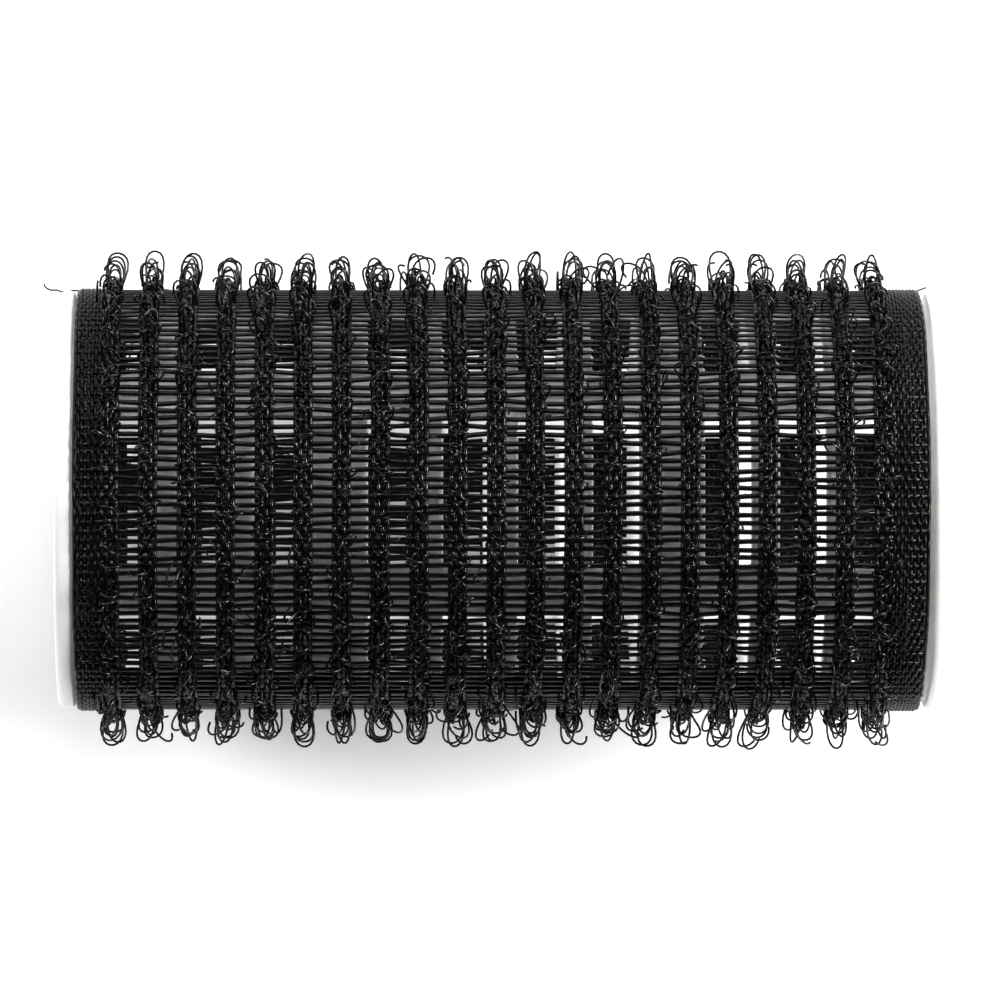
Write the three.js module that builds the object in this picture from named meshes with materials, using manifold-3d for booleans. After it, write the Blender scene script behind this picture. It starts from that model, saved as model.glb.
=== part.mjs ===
// Self-grip hair roller: a moulded cage with one strip of woven loop tape wrapped round it.
// Millimetres. The roller's axis is X, its middle is the origin, and +Z is up as it lies on its side.
import * as THREE from 'three';
import { mergeVertices } from 'three/addons/utils/BufferGeometryUtils.js';
import Module from 'manifold-3d';

const wasm = await Module();
wasm.setup();

// Driving dimensions. A radius is measured to the middle of a facet.
const ROLLER_LENGTH = 63;
const PILE_RADIUS = 18; // to the tips of the loops
const CLEARANCE = 0.3; // between pieces that touch

const FACETS = 24; // round the roller, with one facet flat on the ground
const FACET_ANGLE = 360 / FACETS;

const BORE_RADIUS = 13;
const BORE_CHAMFER = 0.3;
const CAGE_RADIUS = 14.2; // the cage's outside, under the tape
const RIM_RADIUS = 14.9; // the flange that shows at each end
const RIM_THICKNESS = 1.2;
const RIM_ROUNDING = 0.4;
const BAR_COUNT = 6; // lengthways bars, each as wide as one facet
const FIRST_BAR_ANGLE = 30; // from the top
const WINDOW_LENGTH = 3.2;
const NARROW_RING = 2.05;
const WIDE_RING = 4.65;
const RINGS_BESIDE_WINDOWS = [NARROW_RING, NARROW_RING, WIDE_RING, NARROW_RING, NARROW_RING];

const TAPE_WIDTH = 60;
const TAPE_OFFSET = -0.15; // the tape is wrapped a little towards the left end
const TAPE_RADIUS = 15.1; // the woven ground's outside
const LAP_RISE = 0.4; // one thickness of tape, where its end lies over its start
const LAP_START_ANGLE = 52.5; // from the top, towards -Y
const LAP_CUT_ANGLE = 67.5; // where the tape is cut off
const LAP_RAMP = 2.5; // degrees over which the tape climbs onto its own start

const PILE_ROWS = 21;
const PILE_PITCH = 2.71;
const PILE_OFFSET = -0.5; // from the middle of the cage
const PILE_WIDTH = 1.6;

const plasticWhite = { color: 0xf1f1ee, roughness: 0.38, metalness: 0 };
const tapeBlack = { color: 0x1b1b1e, roughness: 0.85, metalness: 0 };
const pileBlack = { color: 0x121214, roughness: 0.5, metalness: 0 };

const radians = THREE.MathUtils.degToRad;
const cornerRadius = (radius) => radius / Math.cos(radians(FACET_ANGLE / 2));

function named(name, geometry, finish) {
  const mesh = new THREE.Mesh(geometry, new THREE.MeshStandardMaterial(finish));
  mesh.name = name;
  return mesh;
}

// A point of a cross-section, at an angle from the top towards -Y.
function sectionPoint(radius, angle) {
  return new THREE.Vector2(-radius * Math.cos(radians(angle)), -radius * Math.sin(radians(angle)));
}

// A cross-section drawn with sectionPoint, pushed along X from start.
function alongAxis(section, start, length) {
  const geometry = new THREE.ExtrudeGeometry(section, { depth: length, bevelEnabled: false });
  geometry.rotateY(Math.PI / 2);
  geometry.translate(start, 0, 0);
  return geometry;
}

function toSolid(geometry) {
  const bare = geometry.clone();
  bare.deleteAttribute('normal');
  bare.deleteAttribute('uv');
  const merged = mergeVertices(bare);
  return new wasm.Manifold(new wasm.Mesh({
    numProp: 3,
    vertProperties: new Float32Array(merged.attributes.position.array),
    triVerts: new Uint32Array(merged.index.array),
  }));
}

function toGeometry(solid) {
  const mesh = solid.getMesh();
  const geometry = new THREE.BufferGeometry();
  geometry.setAttribute('position', new THREE.BufferAttribute(mesh.vertProperties, 3));
  geometry.setIndex(new THREE.BufferAttribute(mesh.triVerts, 1));
  geometry.computeVertexNormals();
  return geometry;
}

// The cage before its windows: a tube with a rounded flange at each end.
function cageTube() {
  const end = ROLLER_LENGTH / 2;
  const outerEnd = [
    [CAGE_RADIUS, end - RIM_THICKNESS],
    [RIM_RADIUS, end - RIM_THICKNESS],
    [RIM_RADIUS, end - RIM_ROUNDING],
    [RIM_RADIUS - 0.3 * RIM_ROUNDING, end - 0.3 * RIM_ROUNDING],
    [RIM_RADIUS - RIM_ROUNDING, end],
  ];
  const boreEnd = [
    [BORE_RADIUS + BORE_CHAMFER, end],
    [BORE_RADIUS, end - BORE_CHAMFER],
  ];
  const rightHalf = [...outerEnd, ...boreEnd];
  const leftHalf = rightHalf.map(([radius, x]) => [radius, -x]).reverse();
  const profile = [...rightHalf, ...leftHalf, rightHalf[0]];
  const points = profile.map(([radius, x]) => new THREE.Vector2(cornerRadius(radius), x));
  const tube = new THREE.LatheGeometry(points, FACETS, radians(FACET_ANGLE / 2));
  tube.rotateZ(-Math.PI / 2);
  return toSolid(tube);
}

// The wedge that opens one window between two bars.
function windowWedge(firstAngle, start) {
  const lastAngle = firstAngle + 360 / BAR_COUNT - FACET_ANGLE;
  const inside = BORE_RADIUS - 1;
  const outside = CAGE_RADIUS + 2;
  const section = new THREE.Shape([
    sectionPoint(inside, firstAngle),
    sectionPoint(outside, firstAngle),
    sectionPoint(outside, lastAngle),
    sectionPoint(inside, lastAngle),
  ]);
  return toSolid(alongAxis(section, start, WINDOW_LENGTH));
}

// Where each band of windows starts, from the middle ring out to both ends.
function windowStarts() {
  const starts = [];
  let x = NARROW_RING / 2;
  for (let band = 0; band < RINGS_BESIDE_WINDOWS.length; band += 1) {
    starts.push(x, -x - WINDOW_LENGTH);
    x += WINDOW_LENGTH + (RINGS_BESIDE_WINDOWS[band + 1] ?? 0);
  }
  return starts;
}

function coreCage() {
  let cage = cageTube();
  for (const start of windowStarts()) {
    for (let bar = 0; bar < BAR_COUNT; bar += 1) {
      const barAngle = FIRST_BAR_ANGLE + (bar * 360) / BAR_COUNT;
      cage = cage.subtract(windowWedge(barAngle + FACET_ANGLE / 2, start));
    }
  }
  return named('core_cage', toGeometry(cage), plasticWhite);
}

// The tape's outline round the roller, raised over the lap; room widens the lap on both sides.
function wrapOutline(radius, room) {
  const roomAngle = THREE.MathUtils.radToDeg(room / radius);
  const low = cornerRadius(radius);
  const high = cornerRadius(radius + LAP_RISE);
  const points = [];
  for (let facet = 0; facet < FACETS; facet += 1) {
    const angle = FACET_ANGLE * (facet + 0.5);
    const startsLap = angle === LAP_START_ANGLE;
    const endsLap = angle === LAP_CUT_ANGLE;
    if (startsLap) {
      points.push(sectionPoint(low, angle - roomAngle));
      points.push(sectionPoint(high, angle - roomAngle + LAP_RAMP));
    } else if (endsLap) {
      points.push(sectionPoint(high, angle + roomAngle));
      points.push(sectionPoint(low, angle + roomAngle));
    } else {
      points.push(sectionPoint(low, angle));
    }
  }
  return points;
}

function facetRing(radius) {
  const points = [];
  for (let facet = 0; facet < FACETS; facet += 1) {
    points.push(sectionPoint(cornerRadius(radius), FACET_ANGLE * (facet + 0.5)));
  }
  return points;
}

function tapeGround() {
  const section = new THREE.Shape(wrapOutline(TAPE_RADIUS, 0));
  section.holes.push(new THREE.Path(facetRing(CAGE_RADIUS + CLEARANCE)));
  return named('tape_ground', alongAxis(section, TAPE_OFFSET - TAPE_WIDTH / 2, TAPE_WIDTH), tapeBlack);
}

// The space that one row of loops fills, all the way round the tape.
function pileRow(index) {
  const middle = PILE_OFFSET + (index - (PILE_ROWS - 1) / 2) * PILE_PITCH;
  const section = new THREE.Shape(facetRing(PILE_RADIUS));
  section.holes.push(new THREE.Path(wrapOutline(TAPE_RADIUS + CLEARANCE, CLEARANCE)));
  const geometry = alongAxis(section, middle - PILE_WIDTH / 2, PILE_WIDTH);
  return named(`pile_row_${String(index + 1).padStart(2, '0')}`, geometry, pileBlack);
}

const hairRoller = new THREE.Group();
hairRoller.add(coreCage());
hairRoller.add(tapeGround());
for (let index = 0; index < PILE_ROWS; index += 1) {
  hairRoller.add(pileRow(index));
}

export default hairRoller;
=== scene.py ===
import math
import bpy
import numpy as np
from mathutils import Matrix, Vector


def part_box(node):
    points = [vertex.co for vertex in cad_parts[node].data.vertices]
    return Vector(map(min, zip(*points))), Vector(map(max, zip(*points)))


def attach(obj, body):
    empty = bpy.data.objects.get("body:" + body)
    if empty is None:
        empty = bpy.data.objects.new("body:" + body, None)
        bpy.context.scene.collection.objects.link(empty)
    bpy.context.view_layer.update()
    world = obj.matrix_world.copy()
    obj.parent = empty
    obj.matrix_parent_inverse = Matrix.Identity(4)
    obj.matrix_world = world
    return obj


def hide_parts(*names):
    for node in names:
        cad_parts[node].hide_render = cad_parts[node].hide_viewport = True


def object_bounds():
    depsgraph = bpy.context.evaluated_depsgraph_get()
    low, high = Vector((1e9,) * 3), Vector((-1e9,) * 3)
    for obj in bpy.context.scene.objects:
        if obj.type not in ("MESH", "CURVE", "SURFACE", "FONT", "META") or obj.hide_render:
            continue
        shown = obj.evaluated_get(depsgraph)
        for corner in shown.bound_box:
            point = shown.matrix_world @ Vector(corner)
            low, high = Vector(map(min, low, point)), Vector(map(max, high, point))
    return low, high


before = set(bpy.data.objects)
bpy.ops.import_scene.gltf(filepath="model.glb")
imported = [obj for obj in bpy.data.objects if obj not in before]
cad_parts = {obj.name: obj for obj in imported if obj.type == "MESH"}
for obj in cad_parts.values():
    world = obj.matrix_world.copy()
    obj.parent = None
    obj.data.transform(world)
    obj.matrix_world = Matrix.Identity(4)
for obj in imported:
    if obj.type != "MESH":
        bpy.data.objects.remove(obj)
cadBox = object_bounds()
mm = 0.001
axisWay = np.array([1.0, 0, 0])

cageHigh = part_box("core_cage")[1]
tapeLow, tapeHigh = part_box("tape_ground")
rowNames = sorted(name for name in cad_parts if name.startswith("pile_row"))
rowBoxes = [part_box(name) for name in rowNames]
rowMiddles = [(low[0] + high[0]) / 2 for low, high in rowBoxes]
pileRadius = rowBoxes[0][1][2]
tapeRadius = tapeHigh[2]
tapeMiddle = (tapeLow[0] + tapeHigh[0]) / 2
tapeHalf = (tapeHigh[0] - tapeLow[0]) / 2
floorHeight = cadBox[0][2]


def aroundAxis(x, radius, angle):  # the angle is in degrees, from the top towards -Y
    turn = np.radians(angle)
    x, radius, turn = np.broadcast_arrays(x, radius, turn)
    return np.stack([x, -radius * np.sin(turn), radius * np.cos(turn)], axis=-1)


def outwardAt(points):
    outward = points * np.array([0.0, 1.0, 1.0])
    return outward / np.linalg.norm(outward, axis=-1, keepdims=True)


def smoothStep(value, low, high):  # from 0 at low to 1 at high
    share = np.clip((value - low) / (high - low), 0.0, 1.0)
    return share * share * (3 - 2 * share)


def yarnRings(lines, side, halfWide, halfThick, corners):
    # lines holds yarns, their points and x, y, z; halfWide is measured in the direction of side
    along = np.gradient(lines, axis=1)
    along /= np.linalg.norm(along, axis=-1, keepdims=True)
    wide = side - (side * along).sum(-1, keepdims=True) * along
    wide /= np.linalg.norm(wide, axis=-1, keepdims=True)
    thick = np.cross(along, wide)
    turn = np.arange(corners) * 2 * np.pi / corners
    sideways = halfWide * wide[:, :, None] * np.cos(turn)[:, None]
    outwards = halfThick * thick[:, :, None] * np.sin(turn)[:, None]
    return lines[:, :, None] + (sideways + outwards)


def yarnFaces(yarns, points, corners):  # the sides, the first caps and the last caps
    ids = np.arange(yarns * points * corners).reshape(yarns, points, corners)
    after = np.roll(ids, -1, axis=2)
    quads = np.stack([ids[:, :-1], after[:, :-1], after[:, 1:], ids[:, 1:]], axis=-1)
    return quads.reshape(-1, 4), ids[:, 0, ::-1], ids[:, -1]


class YarnMesh:  # gathers bundles of closed yarns into one mesh
    def __init__(self, name):
        self.name = name
        self.points = []
        self.corners = []
        self.sizes = []
        self.count = 0

    def add(self, rings):
        yarns, points, corners = rings.shape[:3]
        quads, firstCaps, lastCaps = yarnFaces(yarns, points, corners)
        self.points.append(rings.reshape(-1, 3))
        for faces in (quads, firstCaps, lastCaps):
            self.corners.append((faces + self.count).reshape(-1))
            self.sizes.append(np.full(len(faces), faces.shape[1]))
        self.count += yarns * points * corners

    def build(self, material):
        points = np.concatenate(self.points)
        corners = np.concatenate(self.corners)
        sizes = np.concatenate(self.sizes)
        mesh = bpy.data.meshes.new(self.name)
        mesh.vertices.add(len(points))
        mesh.vertices.foreach_set("co", points.astype(np.float32).reshape(-1))
        mesh.loops.add(len(corners))
        mesh.loops.foreach_set("vertex_index", corners.astype(np.int32))
        mesh.polygons.add(len(sizes))
        mesh.polygons.foreach_set("loop_start", (np.cumsum(sizes) - sizes).astype(np.int32))
        mesh.update(calc_edges=True)
        mesh.shade_smooth()
        return placed(self.name, mesh, material)


def placed(name, mesh, material):
    mesh.materials.append(material)
    piece = bpy.data.objects.new(name, mesh)
    bpy.context.scene.collection.objects.link(piece)
    return piece


def newMaterial(name):
    material = bpy.data.materials.new(name)
    material.use_nodes = True
    nodes = material.node_tree.nodes
    links = material.node_tree.links
    return material, nodes, links, nodes["Principled BSDF"]


def objectNoise(nodes, links, scale, detail, stretch=(1, 1, 1)):
    place = nodes.new("ShaderNodeTexCoord")
    mapping = nodes.new("ShaderNodeMapping")
    mapping.inputs["Scale"].default_value = stretch
    links.new(place.outputs["Object"], mapping.inputs["Vector"])
    noise = nodes.new("ShaderNodeTexNoise")
    noise.inputs["Scale"].default_value = scale
    noise.inputs["Detail"].default_value = detail
    links.new(mapping.outputs["Vector"], noise.inputs["Vector"])
    return noise.outputs["Fac"]


def colourBetween(nodes, links, factor, dark, light):
    ramp = nodes.new("ShaderNodeValToRGB")
    for stop, place, colour in zip(ramp.color_ramp.elements, (0.3, 0.7), (dark, light)):
        stop.position = place
        stop.color = (*colour, 1)
    links.new(factor, ramp.inputs["Fac"])
    return ramp.outputs["Color"]


def valueBetween(nodes, links, factor, low, high):
    spread = nodes.new("ShaderNodeMapRange")
    spread.inputs["To Min"].default_value = low
    spread.inputs["To Max"].default_value = high
    links.new(factor, spread.inputs["Value"])
    return spread.outputs["Result"]


def bumpFrom(nodes, links, height, depth, strength=1.0):
    bump = nodes.new("ShaderNodeBump")
    bump.inputs["Distance"].default_value = depth
    bump.inputs["Strength"].default_value = strength
    links.new(height, bump.inputs["Height"])
    return bump.outputs["Normal"]


def mouldedPlastic():
    material, nodes, links, shader = newMaterial("milky_polypropylene")
    cloud = objectNoise(nodes, links, 90, 3)
    colour = colourBetween(nodes, links, cloud, (0.86, 0.86, 0.85), (0.93, 0.93, 0.925))
    links.new(colour, shader.inputs["Base Color"])
    grain = objectNoise(nodes, links, 1500, 4)
    links.new(valueBetween(nodes, links, grain, 0.3, 0.46), shader.inputs["Roughness"])
    links.new(bumpFrom(nodes, links, grain, 0.012 * mm), shader.inputs["Normal"])
    shader.inputs["IOR"].default_value = 1.49
    shader.inputs["Subsurface Weight"].default_value = 0.55
    shader.inputs["Subsurface Radius"].default_value = (1.0, 1.0, 0.95)
    shader.inputs["Subsurface Scale"].default_value = 1.6 * mm
    return material


def wovenNylon():
    material, nodes, links, shader = newMaterial("black_woven_nylon")
    dye = objectNoise(nodes, links, 260, 3)
    colour = colourBetween(nodes, links, dye, (0.0004, 0.0004, 0.0006), (0.0022, 0.0022, 0.003))
    links.new(colour, shader.inputs["Base Color"])
    fibres = objectNoise(nodes, links, 9000, 3, (0.25, 1, 1))
    links.new(valueBetween(nodes, links, fibres, 0.24, 0.42), shader.inputs["Roughness"])
    links.new(bumpFrom(nodes, links, fibres, 0.03 * mm, 0.8), shader.inputs["Normal"])
    shader.inputs["Specular IOR Level"].default_value = 0.32
    shader.inputs["Sheen Weight"].default_value = 0.01
    shader.inputs["Sheen Roughness"].default_value = 0.35
    shader.inputs["Sheen Tint"].default_value = (0.85, 0.85, 0.9, 1)
    return material


def loopNylon():
    material, nodes, links, shader = newMaterial("black_nylon_filament")
    dye = objectNoise(nodes, links, 700, 2)
    colour = colourBetween(nodes, links, dye, (0.0003, 0.0003, 0.0005), (0.0016, 0.0016, 0.0022))
    links.new(colour, shader.inputs["Base Color"])
    drawn = objectNoise(nodes, links, 6000, 2)
    links.new(valueBetween(nodes, links, drawn, 0.2, 0.36), shader.inputs["Roughness"])
    links.new(bumpFrom(nodes, links, drawn, 0.008 * mm), shader.inputs["Normal"])
    shader.inputs["IOR"].default_value = 1.53
    shader.inputs["Specular IOR Level"].default_value = 0.5
    return material


def paleFloor():
    material, nodes, links, shader = newMaterial("pale_floor")
    paper = objectNoise(nodes, links, 30, 2)
    colour = colourBetween(nodes, links, paper, (0.93, 0.93, 0.93), (0.95, 0.95, 0.95))
    links.new(colour, shader.inputs["Base Color"])
    shader.inputs["Roughness"].default_value = 0.7
    shader.inputs["Emission Color"].default_value = (1, 1, 1, 1)
    shader.inputs["Emission Strength"].default_value = 0.24
    return material


def setCamera():
    view = {"place": (-0.0125, -0.031, 0.66), "lens": 333}
    data = bpy.data.cameras.new("view_from_above")
    data.lens = view["lens"]
    camera = bpy.data.objects.new("view_from_above", data)
    bpy.context.scene.collection.objects.link(camera)
    away = Vector(view["place"]).normalized()
    right = Vector((0, 1, 0)).cross(away).normalized()
    camera.location = view["place"]
    camera.rotation_euler = Matrix((right, away.cross(right), away)).transposed().to_euler()
    bpy.context.scene.camera = camera


def setRoom():  # a pale backdrop low down, and a dark ceiling that the black yarns reflect
    sky = bpy.data.worlds.new("pale_backdrop")
    sky.use_nodes = True
    nodes = sky.node_tree.nodes
    links = sky.node_tree.links
    facing = nodes.new("ShaderNodeTexCoord")
    parts = nodes.new("ShaderNodeSeparateXYZ")
    fade = nodes.new("ShaderNodeMapRange")
    fade.interpolation_type = "SMOOTHSTEP"
    fade.inputs["From Min"].default_value = 0.04
    fade.inputs["From Max"].default_value = 0.3
    fade.inputs["To Min"].default_value = 0.8
    fade.inputs["To Max"].default_value = 0.002
    links.new(facing.outputs["Generated"], parts.inputs["Vector"])
    links.new(parts.outputs["Z"], fade.inputs["Value"])
    links.new(fade.outputs["Result"], nodes["Background"].inputs["Strength"])
    nodes["Background"].inputs["Color"].default_value = (1, 1, 1, 1)
    bpy.context.scene.world = sky
    bpy.context.scene.view_settings.view_transform = "Standard"
    bpy.context.scene.view_settings.look = "Medium High Contrast"


def setLamps():
    lamps = {  # place, size and watts
        "left_softbox": ((-0.9, 0.3, 0.7), 0.4, 7),
        "right_softbox": ((1.0, 0.1, 0.5), 0.45, 24),
        "far_softbox": ((0.05, 0.9, 0.6), 0.4, 3.4),
        "near_softbox": ((0.1, -0.9, 0.6), 0.4, 0.6),
    }
    for name, (place, size, power) in lamps.items():
        data = bpy.data.lights.new(name, "AREA")
        data.size = size
        data.energy = power
        lamp = bpy.data.objects.new(name, data)
        bpy.context.scene.collection.objects.link(lamp)
        lamp.location = place
        lamp.rotation_euler = Vector(place).to_track_quat("Z", "Y").to_euler()
        lamp.visible_camera = False


def layFloor():
    half = 2.0
    corners = [(x * half, y * half, floorHeight) for x, y in ((-1, -1), (1, -1), (1, 1), (-1, 1))]
    mesh = bpy.data.meshes.new("floor")
    mesh.from_pydata(corners, [], [(0, 1, 2, 3)])
    placed("floor", mesh, paleFloor())


cage = {
    "boreRadius": 13.0 * mm,
    "outerRadius": 14.25 * mm,  # under the tape
    "flange": 1.2 * mm,
    "bars": 6,
    "firstBar": 30,  # degrees from the top
    "barHalfAngle": 7.5,
    "window": 3.2 * mm,  # along the roller
    "rings": (2.05 * mm, 2.05 * mm, 4.65 * mm, 2.05 * mm, 2.05 * mm),  # from the middle ring out
    "edge": 0.22 * mm,  # how tightly the mould rounds the edges
}


def cageAngles():  # in degrees, with True where a strip of windows follows
    half = cage["barHalfAngle"]
    edge = math.degrees(cage["edge"] / cage["outerRadius"])
    step = 360 / cage["bars"]
    inBar = [-half, -half + edge, 0, half - edge]
    inWindow = [half, half + 1.4 * edge]
    inWindow += [half + (step - 2 * half) * share for share in (0.27, 0.5, 0.73)]
    inWindow += [step - half - 1.4 * edge]
    starts = [cage["firstBar"] + step * bar for bar in range(cage["bars"])]
    angles = [start + offset for start in starts for offset in inBar + inWindow]
    isWindow = ([False] * len(inBar) + [True] * len(inWindow)) * cage["bars"]
    return np.array(angles), isWindow


def cageStations():  # places along the right half, with True where a window follows
    edge = cage["edge"]
    stations = []
    x = 0.0
    for index, ring in enumerate(cage["rings"]):
        stations.append((x + edge if index else x, False))
        x += ring if index else ring / 2
        stations += [(x - edge, False), (x, True), (x + 1.5 * edge, True)]
        x += cage["window"]
        stations += [(x - 1.5 * edge, True), (x, False)]
    stations.append((x + edge, False))
    return stations


def flangeLines():  # the flange's outside and the bore behind it, up to the end face
    end, _, rim = cageHigh
    collar = end - cage["flange"]
    outer = cage["outerRadius"]
    bore = cage["boreRadius"]
    outerLine = [
        (collar - 0.05 * mm, outer), (collar, outer + 0.1 * mm), (collar, rim - 0.12 * mm),
        (collar + 0.1 * mm, rim), (end - 0.42 * mm, rim), (end - 0.1 * mm, rim - 0.14 * mm),
        (end, rim - 0.45 * mm),
    ]
    boreLine = [
        (collar - 0.3 * mm, bore), (collar - 0.1 * mm, bore), (collar + 0.1 * mm, bore),
        (collar + 0.3 * mm, bore), (end - 0.5 * mm, bore), (end - 0.14 * mm, bore + 0.05 * mm),
        (end, bore + 0.35 * mm),
    ]
    return outerLine, boreLine


def cagePoints(line, angles):  # the line is the right half's, and its mirror image comes before it
    places = np.array([(-x, radius) for x, radius in reversed(line[1:])] + line)
    return aroundAxis(places[:, :1], places[:, 1:], angles[None, :])


def cageFaces(opensAlong, opensRound):  # a cell is left open where both say so
    stretches = len(opensAlong)
    columns = len(opensRound)
    firstInner = (stretches + 1) * columns

    def outside(row, column):
        return row * columns + column % columns

    def inside(row, column):
        return firstInner + outside(row, column)

    def solid(row, column):
        return 0 <= row < stretches and not (opensAlong[row] and opensRound[column % columns])

    def wall(first, second):  # joins the outside to the bore along a window's edge or the end face
        return outside(*first), outside(*second), inside(*second), inside(*first)

    faces = []
    for i in range(stretches):
        for c in range(columns):
            if not solid(i, c):
                continue
            faces.append((outside(i, c), outside(i + 1, c), outside(i + 1, c + 1), outside(i, c + 1)))
            faces.append((inside(i, c), inside(i, c + 1), inside(i + 1, c + 1), inside(i + 1, c)))
            if not solid(i - 1, c):
                faces.append(wall((i, c), (i, c + 1)))
            if not solid(i + 1, c):
                faces.append(wall((i + 1, c + 1), (i + 1, c)))
            if not solid(i, c - 1):
                faces.append(wall((i + 1, c), (i, c)))
            if not solid(i, c + 1):
                faces.append(wall((i, c + 1), (i + 1, c + 1)))
    return faces


def buildCage():
    stations = cageStations()
    angles, opensRound = cageAngles()
    flangeOuter, flangeBore = flangeLines()
    outerPoints = cagePoints([(x, cage["outerRadius"]) for x, _ in stations] + flangeOuter, angles)
    borePoints = cagePoints([(x, cage["boreRadius"]) for x, _ in stations] + flangeBore, angles)
    opensRight = [window for _, window in stations] + [False] * (len(flangeOuter) - 1)
    faces = cageFaces(opensRight[::-1] + opensRight, opensRound)
    points = np.concatenate([outerPoints.reshape(-1, 3), borePoints.reshape(-1, 3)])
    used = sorted({corner for face in faces for corner in face})
    renumber = {old: new for new, old in enumerate(used)}
    mesh = bpy.data.meshes.new("core_moulding")
    mesh.from_pydata(points[used].tolist(), [], [tuple(renumber[k] for k in face) for face in faces])
    mesh.shade_smooth()
    piece = placed("core_moulding", mesh, mouldedPlastic())
    soften = piece.modifiers.new("moulded_edges", "SUBSURF")
    soften.levels = 1
    soften.render_levels = 1
    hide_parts("core_cage")
    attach(piece, "root")
    return piece


tape = {
    "pick": 0.62 * mm,  # from one weft yarn to the next
    "lapStart": 52.5,  # degrees from the top towards -Y
    "lapCut": 67.5,
    "lapRise": 0.4 * mm,
    "lapClimb": (-4, 1),  # degrees from the start underneath, where the strip climbs over it
    "middle": tapeRadius - 0.22 * mm,  # radius of the cloth's mid-surface
    "weft": (0.192 * mm, 0.11 * mm),  # half its width, half its thickness
    "edgeWarp": (0.125 * mm, 0.085 * mm),  # in the selvedges
    "edgeWarpPitch": 0.235 * mm,
    "rowWarp": (0.18 * mm, 0.1 * mm),  # under a row of loops
    "rowWarpPitch": 0.335 * mm,
    "rowWarps": 4,
    "crimp": 0.15 * mm,  # how far a warp yarn swings out over a weft yarn
    "wander": 0.06,  # how far a weft yarn bends out of line, in picks
    "tilt": 0.05,  # and how far each stretch of it tilts by itself
    "sway": 0.02 * mm,  # how far a warp yarn strays sideways
    "fray": (0.5, 3.0),  # degrees that a warp yarn runs on past the cut
    "frayAside": 0.25 * mm,  # how far the loose end leans
    "frayLift": (0.05 * mm, 0.12 * mm),  # the mean and its spread
}
windingEnd = 360 + tape["lapCut"]
pickAngle = math.degrees(tape["pick"] / tape["middle"])
pickAngles = np.arange(tape["lapStart"] + 0.5 * pickAngle, windingEnd, pickAngle)
bandHalf = tape["rowWarpPitch"] * (tape["rowWarps"] - 1) / 2 + tape["rowWarp"][0]
edgeZones = {-1: rowMiddles[0] - bandHalf - tapeLow[0], 1: tapeHigh[0] - rowMiddles[-1] - bandHalf}


def clothRadius(angle):  # the strip climbs onto its own start at the lap
    low, high = tape["lapClimb"]
    onceRound = 360 + tape["lapStart"]
    climb = smoothStep(angle, onceRound + low, onceRound + high)
    return tape["middle"] + tape["lapRise"] * climb


def weftStations():  # both selvedges and both sides of every row of loops
    edge = tapeHalf - 2 * tape["edgeWarp"][0]
    bandEnds = [middle + side * bandHalf for middle in rowMiddles for side in (-1, 1)]
    return np.array([tapeMiddle - edge] + bandEnds + [tapeMiddle + edge])


def wefts(dice):
    count = len(pickAngles)
    stations = weftStations()[None]
    wander = np.zeros((count, stations.shape[1]))
    for waves in (180, 420, 900):  # radians per metre
        size = dice.normal(0, tape["wander"], (count, 1))
        start = dice.uniform(0, 2 * np.pi, (count, 1))
        wander += size * np.sin(stations * waves + start)
    wander += dice.normal(0, tape["tilt"], wander.shape)
    angles = pickAngles[:, None] + pickAngle * wander
    lines = aroundAxis(stations, clothRadius(angles), angles)
    across = np.cross(axisWay, outwardAt(lines))
    return yarnRings(lines, across, *tape["weft"], 5)


def warp(x, over, half, swing, dice, perPick):
    fray = dice.uniform(*tape["fray"])
    angles = np.arange(tape["lapStart"], windingEnd + fray, pickAngle / perPick)
    weave = np.cos(np.pi * (angles - pickAngles[0]) / pickAngle) * (1 if over else -1)
    weave *= np.abs(weave) ** 0.5
    loose = smoothStep(angles, windingEnd, windingEnd + tape["fray"][1])
    sway = tape["sway"] * np.sin(np.radians(angles) * dice.uniform(3, 9) + dice.uniform(0, 6))
    sway += loose * dice.normal(0, tape["frayAside"])
    lift = dice.normal(*tape["frayLift"])
    radius = clothRadius(angles) + weave * swing * (1 - loose) + loose * lift
    lines = aroundAxis(x + sway, radius, angles)[None]
    return yarnRings(lines, np.broadcast_to(axisWay, lines.shape), *half, 4)


def stray(start, steps):  # a loose thread that pokes out of the tape's edge; its steps are in millimetres
    half = 0.06 * mm
    line = np.cumsum(np.vstack([start, np.array(steps) * mm]), axis=0)[None]
    upright = np.broadcast_to(np.array([0.0, 0, 1]), line.shape)
    return yarnRings(line, upright, half, half, 5)


def weaveGround():
    dice = np.random.default_rng(11)
    yarns = YarnMesh("woven_ground")
    yarns.add(wefts(dice))
    for side, zone in edgeZones.items():
        count = round(zone / tape["edgeWarpPitch"])
        half = tape["edgeWarp"][0]
        for number, inward in enumerate(np.linspace(half, zone - 0.3 * half, count)):
            x = tapeMiddle + side * (tapeHalf - inward)
            swing = tape["crimp"] if number else 0.4 * tape["crimp"]
            yarns.add(warp(x, number % 2, tape["edgeWarp"], swing, dice, 4))
    farEdge = tape["middle"]
    yarns.add(stray((tapeLow[0] + 0.6 * mm, farEdge, 0.6 * mm), [
        (-0.5, 0.02, 0.3), (-0.45, -0.03, 0.2), (-0.4, -0.12, 0.1), (-0.4, 0.03, 0), (-0.35, 0.12, 0.1),
        (-0.35, -0.02, 0.1), (-0.3, 0.1, 0.1), (-0.22, 0.18, 0), (0.02, 0.16, -0.1),
    ]))
    yarns.add(stray((tapeHigh[0] - 0.4 * mm, farEdge + 0.05 * mm, 0.5 * mm), [
        (0.3, 0.03, 0.1), (0.3, 0.08, 0.1), (0.25, 0.12, 0), (0.2, 0.02, 0),
    ]))
    piece = yarns.build(wovenNylon())
    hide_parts("tape_ground")
    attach(piece, "root")
    return piece


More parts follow.
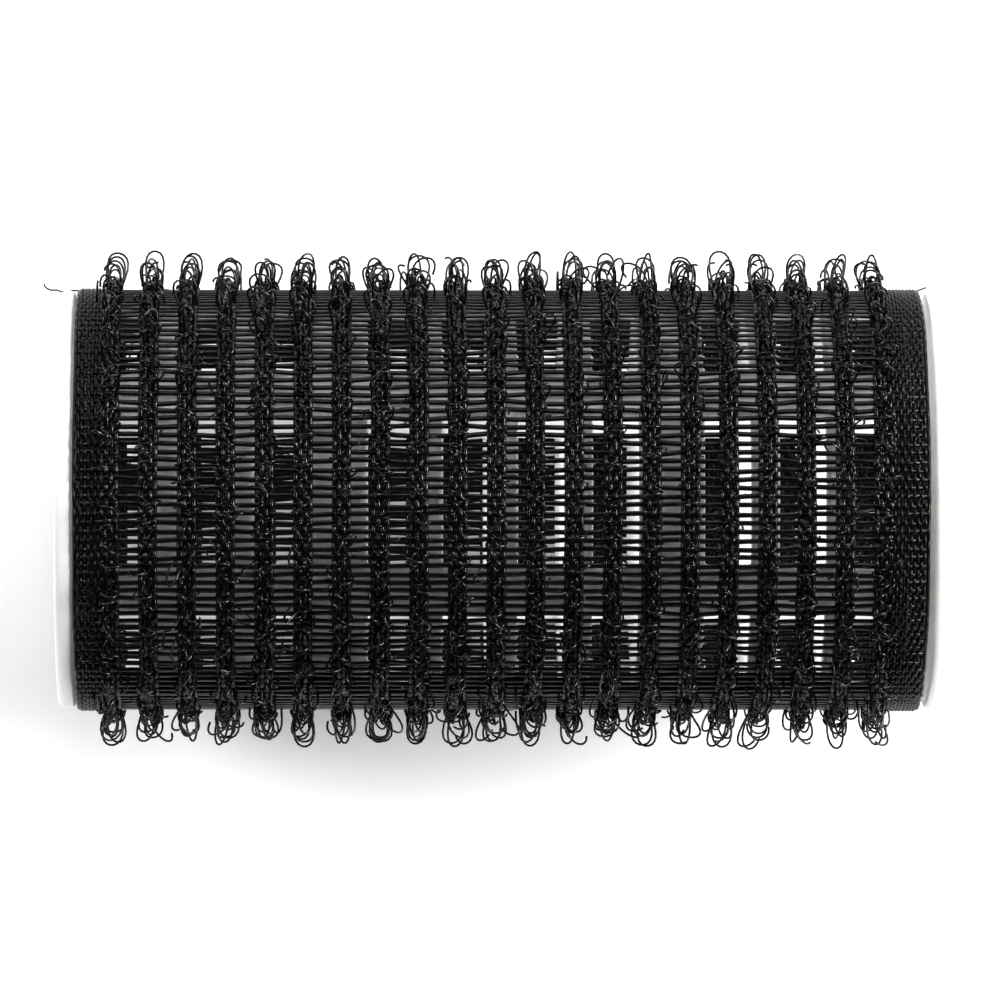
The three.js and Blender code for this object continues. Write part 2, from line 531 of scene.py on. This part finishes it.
pile = {
    "filament": 0.078 * mm,  # half its thickness
    "sunk": 0.05 * mm,  # how deep the feet stand in the cloth
    "loopPicks": 2.6,  # weft yarns from one tall loop to the next
    "curlPicks": 0.66,  # and from one low curl to the next
    "rootHalf": (0.3 * mm, 0.45 * mm),  # half the width between a loop's feet
    "halfWidth": (0.42 * mm, 0.88 * mm),  # about, at the loop's belly
    "height": (2.4 * mm, 3.0 * mm),
    "roundness": (0.62, 1.0),  # 1 gives an oval arch, and less gives it steeper sides
    "jitter": 0.06 * mm,
    "lean": 0.3 * mm,  # round the roller, at the tip
    "aside": 0.24 * mm,  # along the roller, at the tip
    "twist": 0.4,  # radians
    "cutShare": 0.28,  # loops that are cut open into hooks
    "cutReach": (0.5, 0.88),  # how much of the loop a hook keeps
    "cutHeight": (0.8, 1.05),  # a hook's height beside a whole loop's
    "cutAside": 3.0,  # how many times further a hook leans aside
    "curlHalf": (0.2 * mm, 0.45 * mm),  # half the width of a low curl
    "curlHeight": (0.3 * mm, 1.2 * mm),
    "curlSpread": 0.56 * mm,  # how far the curls lie from the row's middle
    "fallenShare": 0.1,  # curls that have fallen into the ladder beside the row
    "fallenSpread": 1.0 * mm,
}


def spread(dice, low, high, count):
    return dice.uniform(low, high, (count, 1))


def raised(middle, angles, across, forward, up):  # kept under the height of its row
    base = clothRadius(angles)[:, None]
    radius = np.minimum(base - pile["sunk"] + up, pileRadius - pile["filament"])
    return aroundAxis(middle + across, radius, angles[:, None] + np.degrees(forward / radius))


def tallLoops(middle, angles, dice):  # arches with a belly, and the hooks that cut ones leave
    count = len(angles)
    cut = dice.random((count, 1)) < pile["cutShare"]
    run = np.linspace(0, 1, 14)[None] * np.where(cut, spread(dice, *pile["cutReach"], count), 1)
    bulge = np.sin(np.pi * run)
    root = spread(dice, *pile["rootHalf"], count)
    reach = np.maximum(spread(dice, *pile["halfWidth"], count) - root, 0.05 * mm)
    tall = spread(dice, *pile["height"], count) * (1 - 0.3 * dice.random((count, 1)) ** 3)
    tall *= np.where(cut, spread(dice, *pile["cutHeight"], count), 1)
    up = tall * np.abs(bulge) ** spread(dice, *pile["roundness"], count)
    share = up / tall
    across = -np.cos(np.pi * run) * (root + 2 * reach * bulge) * np.sign(dice.normal(0, 1, (count, 1)))
    across += share * dice.normal(0, pile["aside"], (count, 1)) * np.where(cut, pile["cutAside"], 1)
    across += dice.normal(0, pile["jitter"], (count, 1)) * np.sin(7 * run + spread(dice, 0, 6, count))
    twist = dice.normal(0, pile["twist"], (count, 1)) * share
    lean = dice.normal(0, pile["lean"], (count, 1)) * share ** 1.3
    forward = lean + across * np.sin(twist)
    across = across * np.cos(twist) + dice.normal(0, pile["jitter"], (count, 1))
    return raised(middle, angles, across, forward, up)


def lowCurls(middle, angles, dice):  # short bent filaments, turned any way, that fill the row
    count = len(angles)
    run = np.linspace(0, 1, 9)[None] * spread(dice, 0.7, 1, count)
    bulge = np.sin(np.pi * run)
    half = spread(dice, *pile["curlHalf"], count)
    along = -np.cos(np.pi * run) * half * (1 + 0.5 * bulge)
    up = spread(dice, *pile["curlHeight"], count) * np.abs(bulge) ** 0.8 + 0.1 * mm
    turn = spread(dice, 0, np.pi, count) + dice.normal(0, 0.5, (count, 1)) * run
    fallen = dice.random((count, 1)) < pile["fallenShare"]
    sideways = spread(dice, -1, 1, count) * np.where(fallen, pile["fallenSpread"], pile["curlSpread"])
    up = up * np.where(fallen, 1.5, 1)
    return raised(middle, angles, sideways + along * np.cos(turn), along * np.sin(turn), up)


def raiseRow(name, middle, dice, material):
    yarns = YarnMesh(name.replace("pile_row", "loop_row"))
    for number in range(tape["rowWarps"]):
        x = middle + tape["rowWarpPitch"] * (number - (tape["rowWarps"] - 1) / 2)
        yarns.add(warp(x, number % 2, tape["rowWarp"], tape["crimp"], dice, 2))
    for shape, picks in ((tallLoops, pile["loopPicks"]), (lowCurls, pile["curlPicks"])):
        step = pickAngle * picks
        first = tape["lapCut"] + 0.7 * pickAngle + step * dice.random()
        angles = np.arange(first, windingEnd - 0.5 * pickAngle, step)
        lines = shape(middle, angles + step * dice.normal(0, 0.3, len(angles)), dice)
        around = np.cross(axisWay, outwardAt(lines))
        yarns.add(yarnRings(lines, around, pile["filament"], pile["filament"], 4))
    piece = yarns.build(material)
    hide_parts(name)
    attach(piece, "root")
    return piece


setCamera()
setRoom()
setLamps()
layFloor()
print("camera, lamps and floor set")
buildCage()
print("core cage moulded")
ground = weaveGround()
print("tape woven with", len(pickAngles), "weft yarns")
filament = loopNylon()
pileDice = np.random.default_rng(29)
rows = [raiseRow(name, middle, pileDice, filament) for name, middle in zip(rowNames, rowMiddles)]
print("loops raised in", len(rows), "rows")
